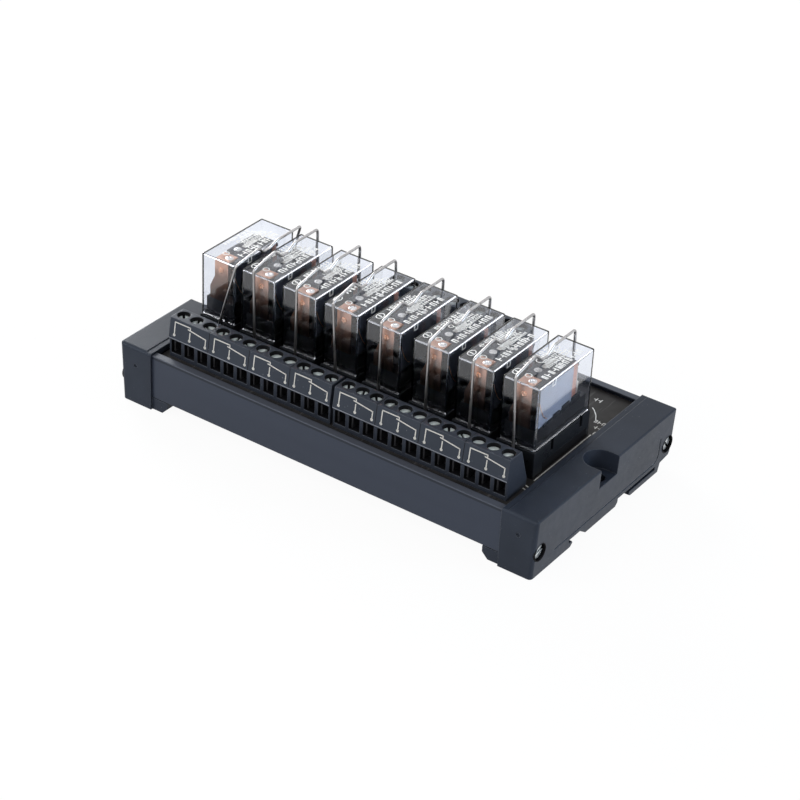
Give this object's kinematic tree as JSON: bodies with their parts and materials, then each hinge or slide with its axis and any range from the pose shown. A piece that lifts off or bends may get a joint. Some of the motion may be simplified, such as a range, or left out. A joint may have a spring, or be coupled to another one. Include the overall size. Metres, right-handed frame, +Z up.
{
  "type": "relay module board",
  "caption": "Rail-mounted carrier with a board of plug-in relays under wire clips, and rows of screw terminals along both long edges.",
  "frame": {"origin": "under the middle of the carrier, on the plane of its feet", "axes": "+X along the carrier from channel 1 to channel 8, +Y from the front terminals to the rear, +Z up, away from the rail"},
  "size_m": [0.1522, 0.077, 0.0521],
  "materials": {
    "black_plastic": "black moulded plastic",
    "carrier_plastic": "blue-black plastic with a satin skin",
    "board": "dark solder resist",
    "relay_clear": "clear moulded cover with pale print",
    "relay_black": "black moulding with bright blades",
    "coil_copper": "enamelled copper winding in its bobbin",
    "spring_bronze": "contact spring and plated iron plate",
    "wire_steel": "bright spring wire",
    "screw_steel": "zinc plated",
    "clamp_metal": "tinned metal"
  },
  "bodies": {
    "carrier": {"carrier_tray": "carrier_plastic", "left_end_cap": "carrier_plastic", "right_end_cap": "carrier_plastic", "end_cap_screws": "screw_steel", "circuit_board": "board", "front_terminal_block_left": "black_plastic", "front_terminal_block_right": "black_plastic", "rear_terminal_block": "black_plastic", "terminal_screws": "screw_steel", "terminal_clamps": "clamp_metal", "coil_diodes": "black_plastic", "socket_1": "black_plastic", "relay_cover_1": "relay_clear", "relay_base_1": "relay_black", "relay_magnet_1": "coil_copper", "socket_2": "black_plastic", "relay_cover_2": "relay_clear", "relay_base_2": "relay_black", "relay_magnet_2": "coil_copper", "socket_3": "black_plastic", "relay_cover_3": "relay_clear", "relay_base_3": "relay_black", "relay_magnet_3": "coil_copper", "socket_4": "black_plastic", "relay_cover_4": "relay_clear", "relay_base_4": "relay_black", "relay_magnet_4": "coil_copper", "socket_5": "black_plastic", "relay_cover_5": "relay_clear", "relay_base_5": "relay_black", "relay_magnet_5": "coil_copper", "socket_6": "black_plastic", "relay_cover_6": "relay_clear", "relay_base_6": "relay_black", "relay_magnet_6": "coil_copper", "socket_7": "black_plastic", "relay_cover_7": "relay_clear", "relay_base_7": "relay_black", "relay_magnet_7": "coil_copper", "socket_8": "black_plastic", "relay_cover_8": "relay_clear", "relay_base_8": "relay_black", "relay_magnet_8": "coil_copper"},
    "clip_1": {"clip_1": "wire_steel"},
    "armature_1": {"relay_armature_1": "spring_bronze"},
    "clip_2": {"clip_2": "wire_steel"},
    "armature_2": {"relay_armature_2": "spring_bronze"},
    "clip_3": {"clip_3": "wire_steel"},
    "armature_3": {"relay_armature_3": "spring_bronze"},
    "clip_4": {"clip_4": "wire_steel"},
    "armature_4": {"relay_armature_4": "spring_bronze"},
    "clip_5": {"clip_5": "wire_steel"},
    "armature_5": {"relay_armature_5": "spring_bronze"},
    "clip_6": {"clip_6": "wire_steel"},
    "armature_6": {"relay_armature_6": "spring_bronze"},
    "clip_7": {"clip_7": "wire_steel"},
    "armature_7": {"relay_armature_7": "spring_bronze"},
    "clip_8": {"clip_8": "wire_steel"},
    "armature_8": {"relay_armature_8": "spring_bronze"}
  },
  "joints": [
    {"name": "clip_1_swing", "type": "hinge", "parent": "carrier", "child": "clip_1", "pos_m": [-0.0544, 0, 0.0209], "axis": [0, 1, 0], "range_deg": [-96, 0]},
    {"name": "armature_1_pull", "type": "hinge", "parent": "carrier", "child": "armature_1", "pos_m": [-0.0544, 0.0036, 0.04387], "axis": [1, 0, 0], "range_deg": [0, 2], "stiffness_Nm_per_rad": 0.02, "springref_deg": -3.44},
    {"name": "clip_2_swing", "type": "hinge", "parent": "carrier", "child": "clip_2", "pos_m": [-0.039, 0, 0.0209], "axis": [0, 1, 0], "range_deg": [-8.5, 17.5]},
    {"name": "armature_2_pull", "type": "hinge", "parent": "carrier", "child": "armature_2", "pos_m": [-0.039, 0.0036, 0.04387], "axis": [1, 0, 0], "range_deg": [0, 2], "stiffness_Nm_per_rad": 0.02, "springref_deg": -3.44},
    {"name": "clip_3_swing", "type": "hinge", "parent": "carrier", "child": "clip_3", "pos_m": [-0.0236, 0, 0.0209], "axis": [0, 1, 0], "range_deg": [-10, 16]},
    {"name": "armature_3_pull", "type": "hinge", "parent": "carrier", "child": "armature_3", "pos_m": [-0.0236, 0.0036, 0.04387], "axis": [1, 0, 0], "range_deg": [0, 2], "stiffness_Nm_per_rad": 0.02, "springref_deg": -3.44},
    {"name": "clip_4_swing", "type": "hinge", "parent": "carrier", "child": "clip_4", "pos_m": [-0.0082, 0, 0.0209], "axis": [0, 1, 0], "range_deg": [-6, 20]},
    {"name": "armature_4_pull", "type": "hinge", "parent": "carrier", "child": "armature_4", "pos_m": [-0.0082, 0.0036, 0.04387], "axis": [1, 0, 0], "range_deg": [0, 2], "stiffness_Nm_per_rad": 0.02, "springref_deg": -3.44},
    {"name": "clip_5_swing", "type": "hinge", "parent": "carrier", "child": "clip_5", "pos_m": [0.0072, 0, 0.0209], "axis": [0, 1, 0], "range_deg": [-10, 16]},
    {"name": "armature_5_pull", "type": "hinge", "parent": "carrier", "child": "armature_5", "pos_m": [0.0072, 0.0036, 0.04387], "axis": [1, 0, 0], "range_deg": [0, 2], "stiffness_Nm_per_rad": 0.02, "springref_deg": -3.44},
    {"name": "clip_6_swing", "type": "hinge", "parent": "carrier", "child": "clip_6", "pos_m": [0.024, 0, 0.0209], "axis": [0, 1, 0], "range_deg": [-10, 16]},
    {"name": "armature_6_pull", "type": "hinge", "parent": "carrier", "child": "armature_6", "pos_m": [0.024, 0.0036, 0.04387], "axis": [1, 0, 0], "range_deg": [0, 2], "stiffness_Nm_per_rad": 0.02, "springref_deg": -3.44},
    {"name": "clip_7_swing", "type": "hinge", "parent": "carrier", "child": "clip_7", "pos_m": [0.0394, 0, 0.0209], "axis": [0, 1, 0], "range_deg": [-10, 16]},
    {"name": "armature_7_pull", "type": "hinge", "parent": "carrier", "child": "armature_7", "pos_m": [0.0394, 0.0036, 0.04387], "axis": [1, 0, 0], "range_deg": [0, 2], "stiffness_Nm_per_rad": 0.02, "springref_deg": -3.44},
    {"name": "clip_8_swing", "type": "hinge", "parent": "carrier", "child": "clip_8", "pos_m": [0.0548, 0, 0.0209], "axis": [0, 1, 0], "range_deg": [-7.5, 82.5]},
    {"name": "armature_8_pull", "type": "hinge", "parent": "carrier", "child": "armature_8", "pos_m": [0.0548, 0.0036, 0.04387], "axis": [1, 0, 0], "range_deg": [0, 2], "stiffness_Nm_per_rad": 0.02, "springref_deg": -3.44}
  ]
}
